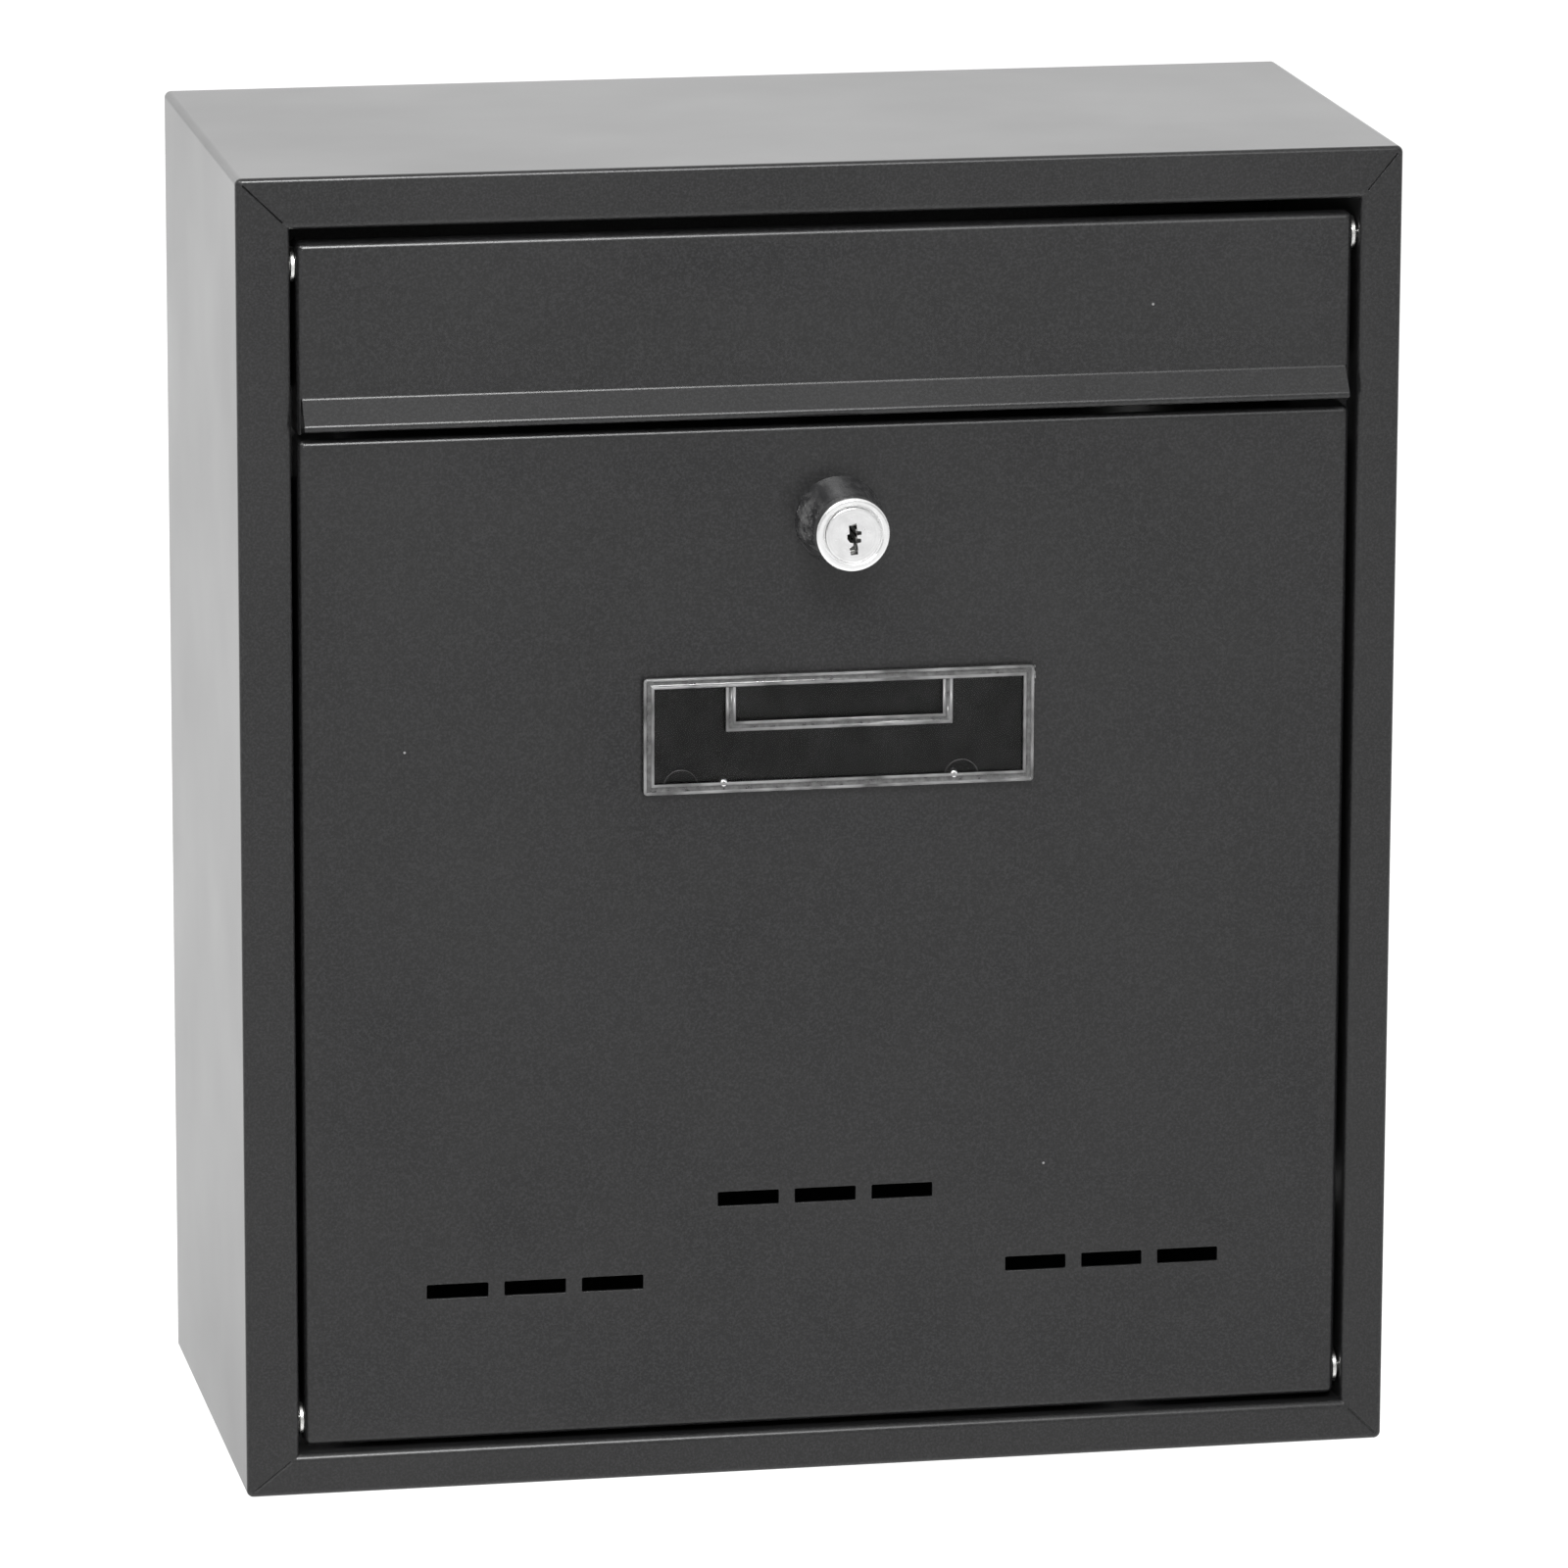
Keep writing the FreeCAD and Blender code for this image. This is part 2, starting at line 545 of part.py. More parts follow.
def make_lock_wafers():
    """Tumbler plates, held level with the plug as a key would hold them."""
    wafers = []
    half = WAFER_WINDOW / 2
    for index, y in enumerate(wafer_fronts()):
        plate = block(FITTINGS_X - WAFER_WIDTH / 2, FITTINGS_X + WAFER_WIDTH / 2, y, y + WAFER,
                      LOCK_Z - WAFER_TALL / 2, LOCK_Z + WAFER_TALL / 2)
        middle = LOCK_Z + WAFER_CUTS[index]
        window = block(FITTINGS_X - half, FITTINGS_X + half, y - PASS, y + WAFER + PASS,
                       middle - WAFER_WINDOW_TALL / 2, middle + WAFER_WINDOW_TALL / 2)
        wafers.append(plate.cut(window))
    return Part.makeCompound(wafers)


def make_lock_washer():
    """Toothed washer under the nut."""
    y0 = FACE + SHEET
    ring = rod_y(TOOTH_WASHER_R, y0, y0 + TOOTH_WASHER)
    ring = ring.cut(rod_y(BARREL_R + SLIP, y0 - PASS, y0 + TOOTH_WASHER + PASS))
    for tooth in range(TEETH):
        angle = 2 * math.pi * tooth / TEETH
        x = FITTINGS_X + TOOTH_WASHER_R * math.cos(angle)
        z = LOCK_Z + TOOTH_WASHER_R * math.sin(angle)
        ring = ring.cut(rod_y(SHEET, y0 - PASS, y0 + TOOTH_WASHER + PASS, x, z))
    return ring


def make_lock_nut():
    y0 = FACE + SHEET + TOOTH_WASHER
    corner_r = NUT_ACROSS_FLATS / math.sqrt(3)
    corners = [(corner_r * math.cos(math.pi * k / 3), corner_r * math.sin(math.pi * k / 3))
               for k in range(6)]
    nut = prism_y(lock_frame(corners), y0, y0 + NUT)
    chamfer = Part.makeCone(corner_r + NUT, corner_r - PASS / 2, NUT + PASS / 2,
                            V(FITTINGS_X, y0, LOCK_Z), V(0, 1, 0))
    nut = nut.common(chamfer)
    return nut.cut(rod_y(BARREL_R + SLIP, y0 - PASS, y0 + NUT + PASS))


def make_lock_cam():
    """Flat cam, pointing left at rest and up behind the cross rail when locked."""
    y0, y1 = behind(CAM_FRONT), behind(CAM_FRONT + CAM)
    half = CAM_WIDTH / 2
    tip_x = FITTINGS_X - CAM_LENGTH + half
    cam = rod_y(CAM_HUB_R, y0, y1)
    cam = cam.fuse(block(tip_x, FITTINGS_X, y0, y1, LOCK_Z - half, LOCK_Z + half))
    cam = cam.fuse(rod_y(half, y0, y1, tip_x, LOCK_Z)).removeSplitter()
    square = TENON / 2
    return cam.cut(block(FITTINGS_X - square, FITTINGS_X + square, y0 - PASS, y1 + PASS,
                         LOCK_Z - square, LOCK_Z + square))


def make_cam_washer():
    y0 = behind(CAM_FRONT + CAM)
    ring = rod_y(SPRING_WASHER_R, y0, y0 + SPRING_WASHER)
    return ring.cut(rod_y(SCREW_R + 2 * SLIP, y0 - PASS, y0 + SPRING_WASHER + PASS))


def make_cam_screw():
    seat = behind(CAM_FRONT + CAM) + SPRING_WASHER
    head = rod_y(SCREW_HEAD_R, seat, seat + SCREW_HEAD)
    crown = [edge for edge in head.Edges if abs(edge.CenterOfMass.y - seat - SCREW_HEAD) < 0.01]
    head = head.makeFillet(SCREW_HEAD / 2, crown)
    reach = SCREW_HEAD_R + PASS
    for wide, tall in ((reach, SCREW_SLOT / 2), (SCREW_SLOT / 2, reach)):
        slot = block(FITTINGS_X - wide, FITTINGS_X + wide, seat + SCREW_HEAD / 2,
                     seat + SCREW_HEAD + PASS, LOCK_Z - tall, LOCK_Z + tall)
        recess = rod_y(SCREW_HEAD_R * SCREW_RECESS, seat, seat + SCREW_HEAD + PASS)
        head = head.cut(slot.common(recess))
    return head.fuse(rod_y(SCREW_R, seat - SCREW_LENGTH, seat))


# ---- write every piece --------------------------------------------------------

def all_parts():
    parts = {
        "body_shell": make_body_shell(),
        "back_panel": make_back_panel(),
        "cross_rail": make_cross_rail(),
        "flap_panel": make_flap_panel(),
        "door_panel": make_door_panel(),
        "card_holder": make_card_holder(),
        "lock_collar": make_lock_collar(),
        "lock_housing": make_lock_housing(),
        "lock_washer": make_lock_washer(),
        "lock_nut": make_lock_nut(),
        "lock_plug": make_lock_plug(),
        "lock_wafers": make_lock_wafers(),
        "lock_cam": make_lock_cam(),
        "cam_washer": make_cam_washer(),
        "cam_screw": make_cam_screw(),
    }
    for leaf, z in (("flap", FLAP_PIN_Z), ("door", DOOR_PIN_Z)):
        for name, side in SIDES.items():
            parts[leaf + "_pin_" + name] = make_pin(side, z)
            parts[leaf + "_washer_" + name] = make_washer(side, z)
    return parts


def main():
    os.makedirs("parts", exist_ok=True)
    for name, shape in sorted(all_parts().items()):
        shape.exportStep("parts/" + name + ".step")
        box = shape.BoundBox
        print("%-18s solids %d valid %s volume %9.1f  x %7.1f %7.1f  y %7.1f %7.1f  z %7.1f %7.1f"
              % (name, len(shape.Solids), shape.isValid(), shape.Volume, box.XMin, box.XMax,
                 box.YMin, box.YMax, box.ZMin, box.ZMax))


main()
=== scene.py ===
import json
import math

import bmesh
import bpy
from mathutils import Matrix, Vector


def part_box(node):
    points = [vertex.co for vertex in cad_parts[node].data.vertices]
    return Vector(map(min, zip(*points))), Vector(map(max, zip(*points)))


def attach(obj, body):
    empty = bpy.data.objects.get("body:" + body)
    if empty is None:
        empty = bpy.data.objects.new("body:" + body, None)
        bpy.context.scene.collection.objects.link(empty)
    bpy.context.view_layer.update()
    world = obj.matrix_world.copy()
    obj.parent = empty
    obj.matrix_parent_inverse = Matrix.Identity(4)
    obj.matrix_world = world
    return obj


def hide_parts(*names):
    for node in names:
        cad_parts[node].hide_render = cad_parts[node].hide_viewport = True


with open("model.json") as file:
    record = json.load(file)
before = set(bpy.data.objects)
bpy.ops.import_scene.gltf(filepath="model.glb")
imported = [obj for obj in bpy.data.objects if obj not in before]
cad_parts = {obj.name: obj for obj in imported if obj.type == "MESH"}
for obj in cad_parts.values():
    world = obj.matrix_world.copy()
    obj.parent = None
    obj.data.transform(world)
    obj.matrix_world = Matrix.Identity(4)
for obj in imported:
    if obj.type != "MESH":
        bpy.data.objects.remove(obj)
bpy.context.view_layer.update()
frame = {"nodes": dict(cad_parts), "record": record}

# Wall mounted letter box: folded sheet steel under a dark grey powder coat.
# Metres, in the frame of the CAD model: +X right, +Y into the wall, +Z up.

MM = 0.001

# ---- camera ---------------------------------------------------------------------

CAMERA_AZIMUTH = -10.81         # degrees, seen from the left
CAMERA_ELEVATION = 13.24
CAMERA_ROLL = 0.20
CAMERA_DISTANCE = 2.6228        # to the middle of the front
CAMERA_LEFT = 0.0103            # the front's middle lies off the optical axis by these
CAMERA_UP = 0.01095
CAMERA_LENS = 227.7             # mm on a sensor 36 mm wide
SENSOR = 36.0

# ---- studio -----------------------------------------------------------------------

FLOOR_BELOW = 1.0               # under the middle of the box
FLOOR_SIZE = 80.0
FLOOR_GREY = 0.90
ROOM_FRONT = 0.60               # radiance of the room in front of the box
ROOM_BACK = 1.55                # and behind it
ROOM_TOP = 0.95
LIGHTS_TARGET = (0.0, -0.07, 0.0)

# ---- small features -----------------------------------------------------------------

SPECKS = ((-111.4, 23.7), (88.3, 136.9), (61.0, -96.0))    # mm, paint inclusions on the front
SPECK_R = 0.45 * MM

HOLDER_CORNER_R = 1.0 * MM
HOLDER_RIM = 2.9 * MM
HOLDER_SHEET = 1.0 * MM         # thickness of the holder's window
HOLDER_SUNK = 0.8 * MM          # the window lies this far behind the rim's beads
BEAD = 0.42 * MM                # radius of the beads along the rim's edges
BEAD_STEPS = 8
LOOP_CORNER_R = 0.12 * MM       # least radius of the rim's inner corners
NOTCH_WIDTH = 61.0 * MM
NOTCH_DEEP = 15.0 * MM
NOTCH_RIDGE = 2.7 * MM
RIDGE_BELOW_RIM = 0.1 * MM
PIECE_GAP = 0.02 * MM           # between the rim, the ridge and the window
PEG_SPACING = 62.0 * MM
PEG_R = 1.2 * MM
PEG_STEPS = 20
ARC_R = 4.6 * MM                # arcs that the mould left beside the pegs
ARC_THICK = 0.10 * MM
ARC_SPAN = (14, 166)            # degrees
ARC_BELOW_RIM = 1.0 * MM        # their centre, under the rim's inner edge
ARC_OFFSETS = {-1: -11.5 * MM, 1: 2.0 * MM}    # from the left and the right peg

# (radius, height) of turned forms, from the door's face or the window's outward
PEG_DOME = [(r * MM, h * MM) for r, h in
            ((1.05, 0.0), (1.0, 0.25), (0.8, 0.5), (0.55, 0.6), (0.42, 0.5), (0.38, 0.1))]
PEG_TAIL = [(r * MM, h * MM) for r, h in
            ((1.2, 0.78), (1.2, -1.02), (2.2, -1.02), (2.2, -1.35), (1.95, -1.62), (1.3, -1.78))]

# crumbs of a moulding burr: offsets right and up from the holder's top right corner, and
# radius, in mm
BURR = ((0.1, -2.4, 0.55), (0.25, -3.4, 0.4), (0.1, -5.0, 0.3), (0.2, -0.6, 0.35))
BURR_FLAT = 0.7                 # squashed across, drawn out upward
BURR_TALL = 1.3
BURR_HEIGHT = 0.6               # its place, as a share of the holder's thickness

CLEAR, EDGE, WINDOW, PEG = range(4)      # material slots of the card holder


def add(name, data, body=None):
    obj = bpy.data.objects.new(name, data)
    bpy.context.scene.collection.objects.link(obj)
    if body:
        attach(obj, body)
    return obj


def aim(obj, place, target):
    """Puts a lamp at a place, looking at a target."""
    away = (place - target).normalized()
    obj.rotation_mode = "QUATERNION"
    obj.rotation_quaternion = away.to_track_quat("Z", "Y")
    obj.location = place


def make_camera():
    data = bpy.data.cameras.new("camera")
    data.sensor_width = SENSOR
    data.lens = CAMERA_LENS
    data.clip_start = 0.05
    data.clip_end = 200.0
    cam = add("camera", data)
    azimuth = math.radians(CAMERA_AZIMUTH)
    rise = math.radians(CAMERA_ELEVATION)
    back = Vector((
        math.sin(azimuth) * math.cos(rise),
        -math.cos(azimuth) * math.cos(rise),
        math.sin(rise),
    ))
    front_middle = Vector((0.0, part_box("body_shell")[0].y, 0.0))
    turn = Matrix.Rotation(math.radians(CAMERA_ROLL), 3, back)
    axes = turn @ back.to_track_quat("Z", "Y").to_matrix()
    right, up = axes.col[0], axes.col[1]
    place = front_middle + back * CAMERA_DISTANCE - right * CAMERA_LEFT + up * CAMERA_UP
    cam.matrix_world = Matrix.Translation(place) @ axes.to_4x4()
    bpy.context.scene.camera = cam


class Nodes:
    """Short names for building a node tree."""

    def __init__(self, tree):
        self.tree = tree
        tree.nodes.clear()

    def node(self, kind, **settings):
        made = self.tree.nodes.new("ShaderNode" + kind)
        for key, value in settings.items():
            setattr(made, key, value)
        return made

    def set(self, socket, value):
        """Links a socket to another, or gives it a plain value."""
        if isinstance(value, bpy.types.NodeSocket):
            self.tree.links.new(value, socket)
        elif isinstance(value, tuple) and len(value) == 3 and socket.type == "RGBA":
            socket.default_value = (*value, 1.0)
        else:
            socket.default_value = value

    def math(self, operation, a, b=0.0):
        made = self.node("Math", operation=operation)
        self.set(made.inputs[0], a)
        self.set(made.inputs[1], b)
        return made.outputs[0]

    def spread(self, value, low, high, to_low=0.0, to_high=1.0, smooth=False):
        made = self.node("MapRange", interpolation_type="SMOOTHSTEP" if smooth else "LINEAR")
        for socket, given in zip(made.inputs, (value, low, high, to_low, to_high)):
            self.set(socket, given)
        return made.outputs["Result"]

    def noise(self, place, scale, detail=2.0, rough=0.5):
        made = self.node("TexNoise")
        self.set(made.inputs["Vector"], place)
        made.inputs["Scale"].default_value = scale
        made.inputs["Detail"].default_value = detail
        made.inputs["Roughness"].default_value = rough
        return made.outputs["Fac"]

    def blend(self, amount, low, high):
        """Mixes two colours."""
        made = self.node("Mix", data_type="RGBA")
        self.set(made.inputs[0], amount)
        self.set(made.inputs[6], low)
        self.set(made.inputs[7], high)
        return made.outputs[2]

    def bump(self, height, strength, distance, normal=None):
        made = self.node("Bump")
        made.inputs["Strength"].default_value = strength
        made.inputs["Distance"].default_value = distance
        self.set(made.inputs["Height"], height)
        if normal:
            self.set(made.inputs["Normal"], normal)
        return made.outputs["Normal"]


# ---- studio -----------------------------------------------------------------------

def make_floor():
    half = FLOOR_SIZE / 2
    mesh = bpy.data.meshes.new("floor")
    corners = [(-half, -half, 0), (half, -half, 0), (half, half, 0), (-half, half, 0)]
    mesh.from_pydata(corners, [], [(0, 1, 2, 3)])
    floor = add("floor", mesh)
    floor.location.z = -FLOOR_BELOW
    mat = bpy.data.materials.new("floor")
    mat.use_nodes = True
    shader = mat.node_tree.nodes["Principled BSDF"]
    shader.inputs["Base Color"].default_value = (FLOOR_GREY, FLOOR_GREY, FLOOR_GREY, 1)
    shader.inputs["Roughness"].default_value = 0.9
    shader.inputs["Specular IOR Level"].default_value = 0.0
    mesh.materials.append(mat)


def softbox(name, place, size, power, target=LIGHTS_TARGET):
    """A rectangular lamp that the camera doesn't see."""
    data = bpy.data.lights.new(name, "AREA")
    data.shape = "RECTANGLE"
    data.size, data.size_y = size
    data.energy = power
    lamp = add(name, data)
    aim(lamp, Vector(place), Vector(target))
    lamp.visible_camera = False


def make_world():
    """A bright room, dimmer in front of the box than behind and above it."""
    world = bpy.data.worlds.new("studio")
    bpy.context.scene.world = world
    world.use_nodes = True
    n = Nodes(world.node_tree)
    direction = n.node("TexCoord").outputs["Generated"]
    split = n.node("SeparateXYZ")
    n.set(split.inputs[0], direction)
    backward = n.spread(split.outputs["Y"], -0.5, 0.55, ROOM_FRONT, ROOM_BACK, smooth=True)
    upward = n.spread(split.outputs["Z"], 0.25, 0.95, 0.0, 1.0, smooth=True)
    level = n.math("ADD", n.math("MULTIPLY", backward, n.math("SUBTRACT", 1.0, upward)),
                   n.math("MULTIPLY", ROOM_TOP, upward))
    light = n.node("Background")
    light.inputs["Color"].default_value = (1, 1, 1, 1)
    n.set(light.inputs["Strength"], level)
    out = n.node("OutputWorld")
    n.set(out.inputs["Surface"], light.outputs[0])


def make_lights():
    make_world()
    softbox("strip", (0.02, -1.30, 0.95), (0.32, 0.40), 18.0)
    softbox("key", (-0.95, -1.25, 1.75), (0.9, 0.9), 18.0)
    softbox("back_card", (-1.7, 2.2, -0.60), (3.4, 1.2), 6.0)
    for name, x, y, height, size, power in (
        ("floor_back", -0.8, 5.4, 4.0, 5.0, 100.0),
        ("floor_front", -1.2, -7.5, 2.0, 1.6, 20.0),
    ):
        softbox(name, (x, y, height), (size, size), power, target=(x, y, -FLOOR_BELOW))
    bpy.context.scene.view_settings.view_transform = "Standard"


# ---- materials --------------------------------------------------------------------

def surface(name):
    """A new material with its tree, its shader and the object's own coordinates."""
    mat = bpy.data.materials.new(name)
    mat.use_nodes = True
    n = Nodes(mat.node_tree)
    shader = n.node("BsdfPrincipled")
    out = n.node("OutputMaterial")
    n.set(out.inputs["Surface"], shader.outputs[0])
    place = n.node("TexCoord").outputs["Object"]
    return mat, n, shader.inputs, place


def edge_mask(n, radius):
    """Near 1 where the surface turns sharply within a radius, and the softened normal."""
    bevel = n.node("Bevel", samples=4)
    bevel.inputs["Radius"].default_value = radius
    geometry = n.node("NewGeometry")
    dot = n.node("VectorMath", operation="DOT_PRODUCT")
    n.set(dot.inputs[0], bevel.outputs["Normal"])
    n.set(dot.inputs[1], geometry.outputs["Normal"])
    turned = n.math("SUBTRACT", 1.0, dot.outputs["Value"])
    return n.spread(turned, 0.02, 0.35, smooth=True), bevel.outputs["Normal"]


def axis_start(node):
    """Middle of a round node's front."""
    low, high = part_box(node)
    return (low.x + high.x) / 2, low.y, (low.z + high.z) / 2


def near_axis(n, place, centre):
    """Distance from an axis along Y, the angle about it in turns, and the depth from its centre."""
    moved = n.node("VectorMath", operation="SUBTRACT")
    n.set(moved.inputs[0], place)
    moved.inputs[1].default_value = centre
    split = n.node("SeparateXYZ")
    n.set(split.inputs[0], moved.outputs[0])
    x, y, z = split.outputs
    radius = n.math("SQRT", n.math("ADD", n.math("MULTIPLY", x, x), n.math("MULTIPLY", z, z)))
    return radius, n.math("DIVIDE", n.math("ARCTAN2", z, x), 2 * math.pi), y


def specks(n, place):
    """1 on the paint inclusions of the front, 0 elsewhere."""
    split = n.node("SeparateXYZ")
    n.set(split.inputs[0], place)
    total = None
    for x, z in SPECKS:
        across = n.math("SUBTRACT", split.outputs["X"], x * MM)
        upward = n.math("SUBTRACT", split.outputs["Z"], z * MM)
        far = n.math("ADD", n.math("MULTIPLY", across, across), n.math("MULTIPLY", upward, upward))
        spot = n.spread(far, 0.0, SPECK_R * SPECK_R, 1.0, 0.0, smooth=True)
        total = spot if total is None else n.math("MAXIMUM", total, spot)
    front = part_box("door_panel")[0].y
    return n.math("MULTIPLY", total, n.spread(split.outputs["Y"], front, front + 0.5 * MM, 1.0, 0.0))


def powder_coat():
    """Dark grey, with a very fine grain, lighter sharp edges that are partly scuffs and partly a
    painted highlight, and a few specks.
    """
    mat, n, inputs, place = surface("powder_coat")
    cloud = n.noise(place, 14.0, 3.0, 0.55)
    mottle = n.noise(place, 1600.0, 2.0, 0.65)
    peel = n.noise(place, 700.0, 1.0, 0.5)
    base = n.blend(n.spread(cloud, 0.3, 0.7), (0.0048, 0.0048, 0.0050), (0.0080, 0.0080, 0.0082))
    grain = n.spread(mottle, 0.42, 0.70, 0.0, 0.7)
    base = n.blend(grain, base, (0.024, 0.024, 0.025))
    sharp_edges, rounded = edge_mask(n, 0.35 * MM)
    # painted highlight and wear: the base turns light grey in patches along sharp edges
    scuff_and_painted_highlight = n.math("MULTIPLY", sharp_edges, n.spread(n.noise(place, 260.0, 3.0), 0.45, 0.7, 0.0, 0.5))
    base = n.blend(scuff_and_painted_highlight, base, (0.10, 0.10, 0.10))
    base = n.blend(specks(n, place), base, (0.22, 0.22, 0.22))
    n.set(inputs["Base Color"], base)
    n.set(inputs["Roughness"], n.spread(cloud, 0.3, 0.7, 0.28, 0.32))
    inputs["IOR"].default_value = 1.47
    n.set(inputs["Normal"], n.bump(peel, 0.05, 0.03 * MM, rounded))
    return mat


def zinc_steel():
    """Bright zinc, a little cloudy."""
    mat, n, inputs, place = surface("zinc_steel")
    cloud = n.noise(place, 300.0, 3.0, 0.6)
    n.set(inputs["Base Color"], n.blend(cloud, (0.50, 0.50, 0.49), (0.78, 0.78, 0.76)))
    inputs["Metallic"].default_value = 1.0
    n.set(inputs["Roughness"], n.spread(cloud, 0.3, 0.7, 0.18, 0.38))
    rounded = edge_mask(n, 0.15 * MM)[1]
    n.set(inputs["Normal"], n.bump(n.noise(place, 2500.0), 0.15, 0.03 * MM, rounded))
    return mat


def chrome():
    """Turned and plated: faint rings about the lock's axis, and painted shade in its depth."""
    mat, n, inputs, place = surface("chrome")
    radius, _, depth = near_axis(n, place, axis_start("lock_housing"))
    rings = n.node("TexNoise", noise_dimensions="1D")
    n.set(rings.inputs["W"], radius)
    rings.inputs["Scale"].default_value = 2300.0
    rings.inputs["Detail"].default_value = 3.0
    ring = rings.outputs["Fac"]
    cloud = n.noise(place, 500.0, 3.0, 0.6)
    base = n.blend(cloud, (0.90, 0.90, 0.90), (0.98, 0.98, 0.98))
    base = n.blend(n.spread(ring, 0.35, 0.65, 0.0, 0.4), base, (0.74, 0.74, 0.74))
    disc = n.spread(radius, 7.45 * MM, 7.2 * MM)
    dull = n.spread(n.noise(place, 230.0, 3.0, 0.6), 0.35, 0.65, 0.15, 0.75)
    base = n.blend(n.math("MULTIPLY", disc, dull), base, (0.70, 0.70, 0.70))
    # painted shade: the base goes near black inside the plug's ring, deeper than a quarter
    # millimetre behind the front
    painted_depth_shade = n.math("MULTIPLY", n.spread(depth, 0.25 * MM, 0.9 * MM, smooth=True),
                    n.spread(radius, 7.2 * MM, 7.0 * MM))
    base = n.blend(painted_depth_shade, base, (0.035, 0.033, 0.030))
    n.set(inputs["Base Color"], base)
    inputs["Metallic"].default_value = 1.0
    n.set(inputs["Roughness"], n.spread(cloud, 0.3, 0.7, 0.14, 0.28))
    n.set(inputs["Normal"], n.bump(ring, 0.35, 0.02 * MM))
    return mat


def dark_plastic():
    """Glossy moulding with pale draw marks along the lock's axis, four times stronger on the left
    side as a painted sheen, and light flecks on the left side that are painted glints.
    """
    mat, n, inputs, place = surface("dark_plastic")
    _, turn, depth = near_axis(n, place, axis_start("lock_collar"))
    spread_out = n.node("CombineXYZ")
    n.set(spread_out.inputs[0], n.math("MULTIPLY", turn, 22.0))
    n.set(spread_out.inputs[1], n.math("MULTIPLY", depth, 160.0))
    streak = n.noise(spread_out.outputs[0], 1.0, 3.0, 0.6)
    # painted sheen and glints: the pale streaks and flecks are strongest on the left side
    left = n.spread(n.math("ABSOLUTE", turn), 0.36, 0.46, smooth=True)
    shown = n.spread(left, 0.0, 1.0, 0.25, 1.0)
    streaks_and_painted_sheen = n.math("MULTIPLY", n.spread(streak, 0.42, 0.72), shown)
    base = n.blend(streaks_and_painted_sheen, (0.022, 0.022, 0.023), (0.17, 0.17, 0.17))
    fine = n.node("CombineXYZ")
    n.set(fine.inputs[0], n.math("MULTIPLY", turn, 110.0))
    n.set(fine.inputs[1], n.math("MULTIPLY", depth, 650.0))
    painted_glint = n.spread(n.noise(fine.outputs[0], 1.0, 3.0, 0.65), 0.60, 0.72, 0.0, 0.8)
    base = n.blend(n.math("MULTIPLY", painted_glint, left), base, (0.50, 0.50, 0.50))
    n.set(inputs["Base Color"], base)
    n.set(inputs["Roughness"], n.spread(streak, 0.3, 0.7, 0.10, 0.22))
    return mat


def clear_plastic():
    """The holder's thick rim and ridge: clear, but full of inner reflections, which its grey base
    tint paints.
    """
    mat, n, inputs, place = surface("clear_plastic")
    cloud = n.noise(place, 420.0, 3.0, 0.6)
    # painted reflection: the grey base colour stands for light reflected inside the clear plastic
    tint = n.blend(n.spread(cloud, 0.3, 0.7), (0.07, 0.07, 0.07), (0.16, 0.16, 0.16))
    n.set(inputs["Base Color"], tint)
    inputs["Transmission Weight"].default_value = 0.4
    inputs["IOR"].default_value = 1.49
    n.set(inputs["Roughness"], n.spread(cloud, 0.3, 0.7, 0.10, 0.22))
    n.set(inputs["Normal"], n.bump(n.noise(place, 700.0), 0.25, 0.05 * MM))
    return mat


def painted_glow_plastic():
    """The beads along the holder's edges: a lighter tint paints the light that gathers in the clear
    plastic there.
    """
    mat, n, inputs, place = surface("painted_glow_plastic")
    cloud = n.noise(place, 110.0, 2.0, 0.5)
    # painted light: the beads' lighter grey stands for light gathering in the clear plastic
    tint = n.blend(n.spread(cloud, 0.35, 0.65), (0.08, 0.08, 0.08), (0.24, 0.24, 0.24))
    n.set(inputs["Base Color"], tint)
    inputs["Transmission Weight"].default_value = 0.2
    inputs["IOR"].default_value = 1.49
    n.set(inputs["Roughness"], n.spread(cloud, 0.3, 0.7, 0.08, 0.20))
    return mat


def window_plastic():
    """The holder's thin window: clear, a little cloudy, with hardly any glare."""
    mat, n, inputs, place = surface("window_plastic")
    cloud = n.noise(place, 110.0, 3.0, 0.6)
    tint = n.blend(n.spread(cloud, 0.35, 0.65), (0.60, 0.60, 0.60), (0.72, 0.72, 0.72))
    n.set(inputs["Base Color"], tint)
    inputs["Transmission Weight"].default_value = 1.0
    inputs["IOR"].default_value = 1.10
    n.set(inputs["Roughness"], n.spread(cloud, 0.3, 0.7, 0.02, 0.08))
    return mat


MAKERS = {
    "powder_coat": powder_coat,
    "zinc_steel": zinc_steel,
    "chrome": chrome,
    "dark_plastic": dark_plastic,
    "clear_plastic": clear_plastic,
}


def paint_nodes():
    """Gives every CAD node its finish, and returns the finishes by slot."""
    finishes = {slot: make() for slot, make in MAKERS.items()}
    for row in frame["record"]["subparts"]:
        mesh = frame["nodes"][row["node"]].data
        mesh.materials.clear()
        mesh.materials.append(finishes[row["material_slot"]])
    return finishes


# ---- card holder ------------------------------------------------------------------

def rounded_loop(x0, x1, z0, z1, radius, steps=5):
    """Points round a rectangle with rounded corners, as (x, z)."""
    points = []
    corners = ((x1, z1, 0), (x0, z1, 90), (x0, z0, 180), (x1, z0, 270))
    for x, z, start in corners:
        cx = x - radius if x == x1 else x + radius
        cz = z - radius if z == z1 else z + radius
        for step in range(steps + 1):
            angle = math.radians(start + 90 * step / steps)
            points.append((cx + radius * math.cos(angle), cz + radius * math.sin(angle)))
    return points


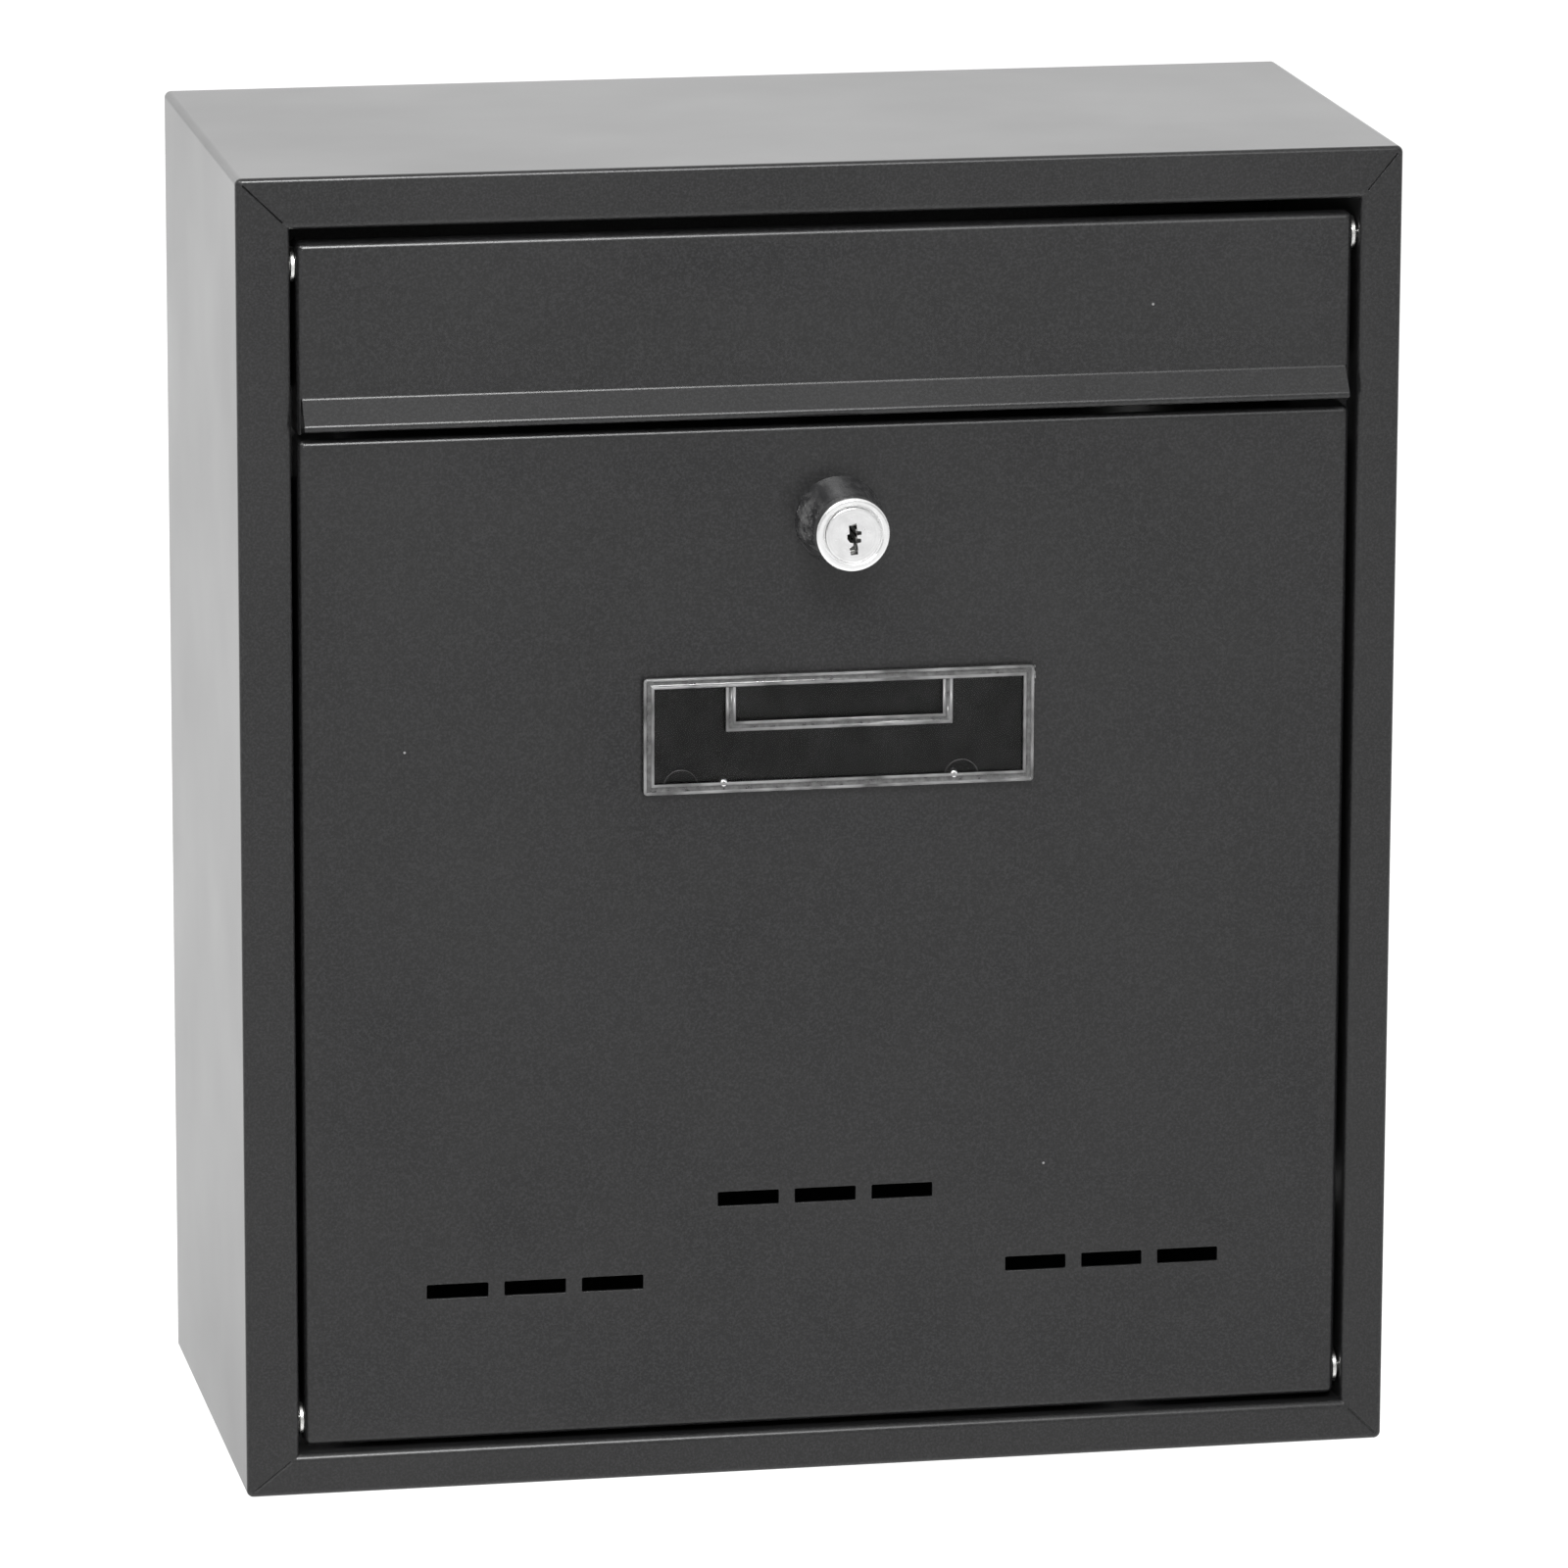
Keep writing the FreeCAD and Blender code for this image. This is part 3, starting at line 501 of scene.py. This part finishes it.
def beaded(width, base, top):
    """Section of a bar with a bead along each edge, as (across, height), and its rows' slots."""
    section = [(0.0, base)]
    slots = [CLEAR]
    for centre in (BEAD, width - BEAD):
        for step in range(BEAD_STEPS + 1):
            angle = math.pi * (1 - step / BEAD_STEPS)
            section.append((centre + BEAD * math.cos(angle), top - BEAD + BEAD * math.sin(angle)))
        slots += [EDGE] * BEAD_STEPS + [CLEAR]
    section.append((width, base))
    return section, slots + [CLEAR]


def skin(mesh, loops, closed_round, closed_section, slot=0, slots=None):
    """Joins loops that have equal counts of points with quads; slots gives each row a material."""
    rows = [[mesh.verts.new(point) for point in loop] for loop in loops]
    count = len(rows[0])
    pairs = list(zip(rows, rows[1:]))
    if closed_section:
        pairs.append((rows[-1], rows[0]))
    for index, (one, two) in enumerate(pairs):
        for k in range(count if closed_round else count - 1):
            j = (k + 1) % count
            face = mesh.faces.new((one[k], one[j], two[j], two[k]))
            face.material_index = slots[index] if slots else slot
            face.smooth = True
    return rows


def plate(mesh, x0, x1, y0, y1, z0, z1, slot):
    """A flat block between the given planes."""
    made = bmesh.ops.create_cube(mesh, size=1.0)["verts"]
    for vert in made:
        vert.co.x = x0 if vert.co.x < 0 else x1
        vert.co.y = y0 if vert.co.y < 0 else y1
        vert.co.z = z0 if vert.co.z < 0 else z1
    for face in {face for vert in made for face in vert.link_faces}:
        face.material_index = slot


def lathe(mesh, profile, centre, steps, slot, end_slot):
    """Turns (radius, out) points about an axis along Y; out counts toward the front."""
    loops = []
    for radius, out in profile:
        loops.append([
            (centre[0] + radius * math.cos(2 * math.pi * k / steps), centre[1] - out,
             centre[2] + radius * math.sin(2 * math.pi * k / steps))
            for k in range(steps)
        ])
    rows = skin(mesh, loops, True, False, slot)
    for row, index in ((rows[0], slot), (rows[-1], end_slot)):
        face = mesh.faces.new(row)
        face.material_index = index
        face.smooth = True


def arc_bead(mesh, centre, steps=24, sides=6):
    """A thin raised arc on the window, left by the mould."""
    start, end = ARC_SPAN
    loops = []
    for step in range(steps + 1):
        angle = math.radians(start + (end - start) * step / steps)
        x, z = math.cos(angle), math.sin(angle)
        loop = []
        for side in range(sides):
            turn = 2 * math.pi * side / sides
            reach = ARC_R + ARC_THICK * math.cos(turn)
            loop.append((
                centre[0] + reach * x, centre[1] + ARC_THICK * math.sin(turn),
                centre[2] + reach * z,
            ))
        loops.append(loop)
    rows = skin(mesh, loops, True, False, CLEAR)
    mesh.faces.new(rows[0])
    mesh.faces.new(rows[-1])


def make_holder():
    """The clear card holder: beaded rim, ridge round the thumb notch, window, pegs and burr."""
    low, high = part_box("card_holder")
    door_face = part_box("door_panel")[0].y
    tall = door_face - low.y
    x0, x1, z0, z1 = low.x, high.x, low.z, high.z
    middle = (x0 + x1) / 2
    mesh = bmesh.new()

    rim, slots = beaded(HOLDER_RIM, 0.0, tall)
    loops = []
    for across, height in rim:
        radius = max(HOLDER_CORNER_R - across, LOOP_CORNER_R)
        loop = rounded_loop(x0 + across, x1 - across, z0 + across, z1 - across, radius)
        loops.append([(x, door_face - height, z) for x, z in loop])
    skin(mesh, loops, True, True, slots=slots)

    sheet_top = tall - HOLDER_SUNK
    ridge_top = tall - RIDGE_BELOW_RIM
    xl, xr = middle - NOTCH_WIDTH / 2, middle + NOTCH_WIDTH / 2
    top = z1 - HOLDER_RIM + PIECE_GAP
    foot = z1 - NOTCH_DEEP
    loops = []
    ridge, slots = beaded(NOTCH_RIDGE, sheet_top + PIECE_GAP / 2, ridge_top)
    for across, height in ridge:
        y = door_face - height
        loops.append([(xl + across, y, top), (xl + across, y, foot + across),
                      (xr - across, y, foot + across), (xr - across, y, top)])
    rows = skin(mesh, loops, False, True, slots=slots)
    mesh.faces.new([row[0] for row in rows])
    mesh.faces.new([row[-1] for row in rows])

    inset = HOLDER_RIM + PIECE_GAP
    front = door_face - sheet_top
    plate(mesh, x0 + inset, x1 - inset, front, front + HOLDER_SHEET,
          z0 + inset, z1 - inset, WINDOW)

    peg_z = z0 + HOLDER_RIM / 2 + PEG_R
    face = door_face - sheet_top - PIECE_GAP / 2
    for side in (-1, 1):
        place = (middle + side * PEG_SPACING / 2, face, peg_z)
        lathe(mesh, PEG_DOME, place, PEG_STEPS, PEG, CLEAR)
        lathe(mesh, PEG_TAIL, (place[0], door_face, peg_z), PEG_STEPS, CLEAR, CLEAR)
        arc_bead(mesh, (place[0] + ARC_OFFSETS[side], face, z0 + HOLDER_RIM - ARC_BELOW_RIM))

    for dx, dz, size in BURR:
        made = bmesh.ops.create_icosphere(mesh, subdivisions=2, radius=size * MM)["verts"]
        for vert in made:
            vert.co = Vector((
                x1 + dx * MM + vert.co.x * BURR_FLAT,
                door_face - tall * BURR_HEIGHT + vert.co.y,
                z1 + dz * MM + vert.co.z * BURR_TALL,
            ))
        for piece in {piece for vert in made for piece in vert.link_faces}:
            piece.material_index = EDGE
            piece.smooth = True

    bmesh.ops.recalc_face_normals(mesh, faces=mesh.faces)
    data = bpy.data.meshes.new("card_pocket")
    mesh.to_mesh(data)
    mesh.free()
    for mat in (finishes["clear_plastic"], painted_glow_plastic(), window_plastic(), finishes["chrome"]):
        data.materials.append(mat)
    holder = add("card_pocket", data, "door")
    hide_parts("card_holder")


make_camera()
make_floor()
make_lights()
finishes = paint_nodes()
make_holder()
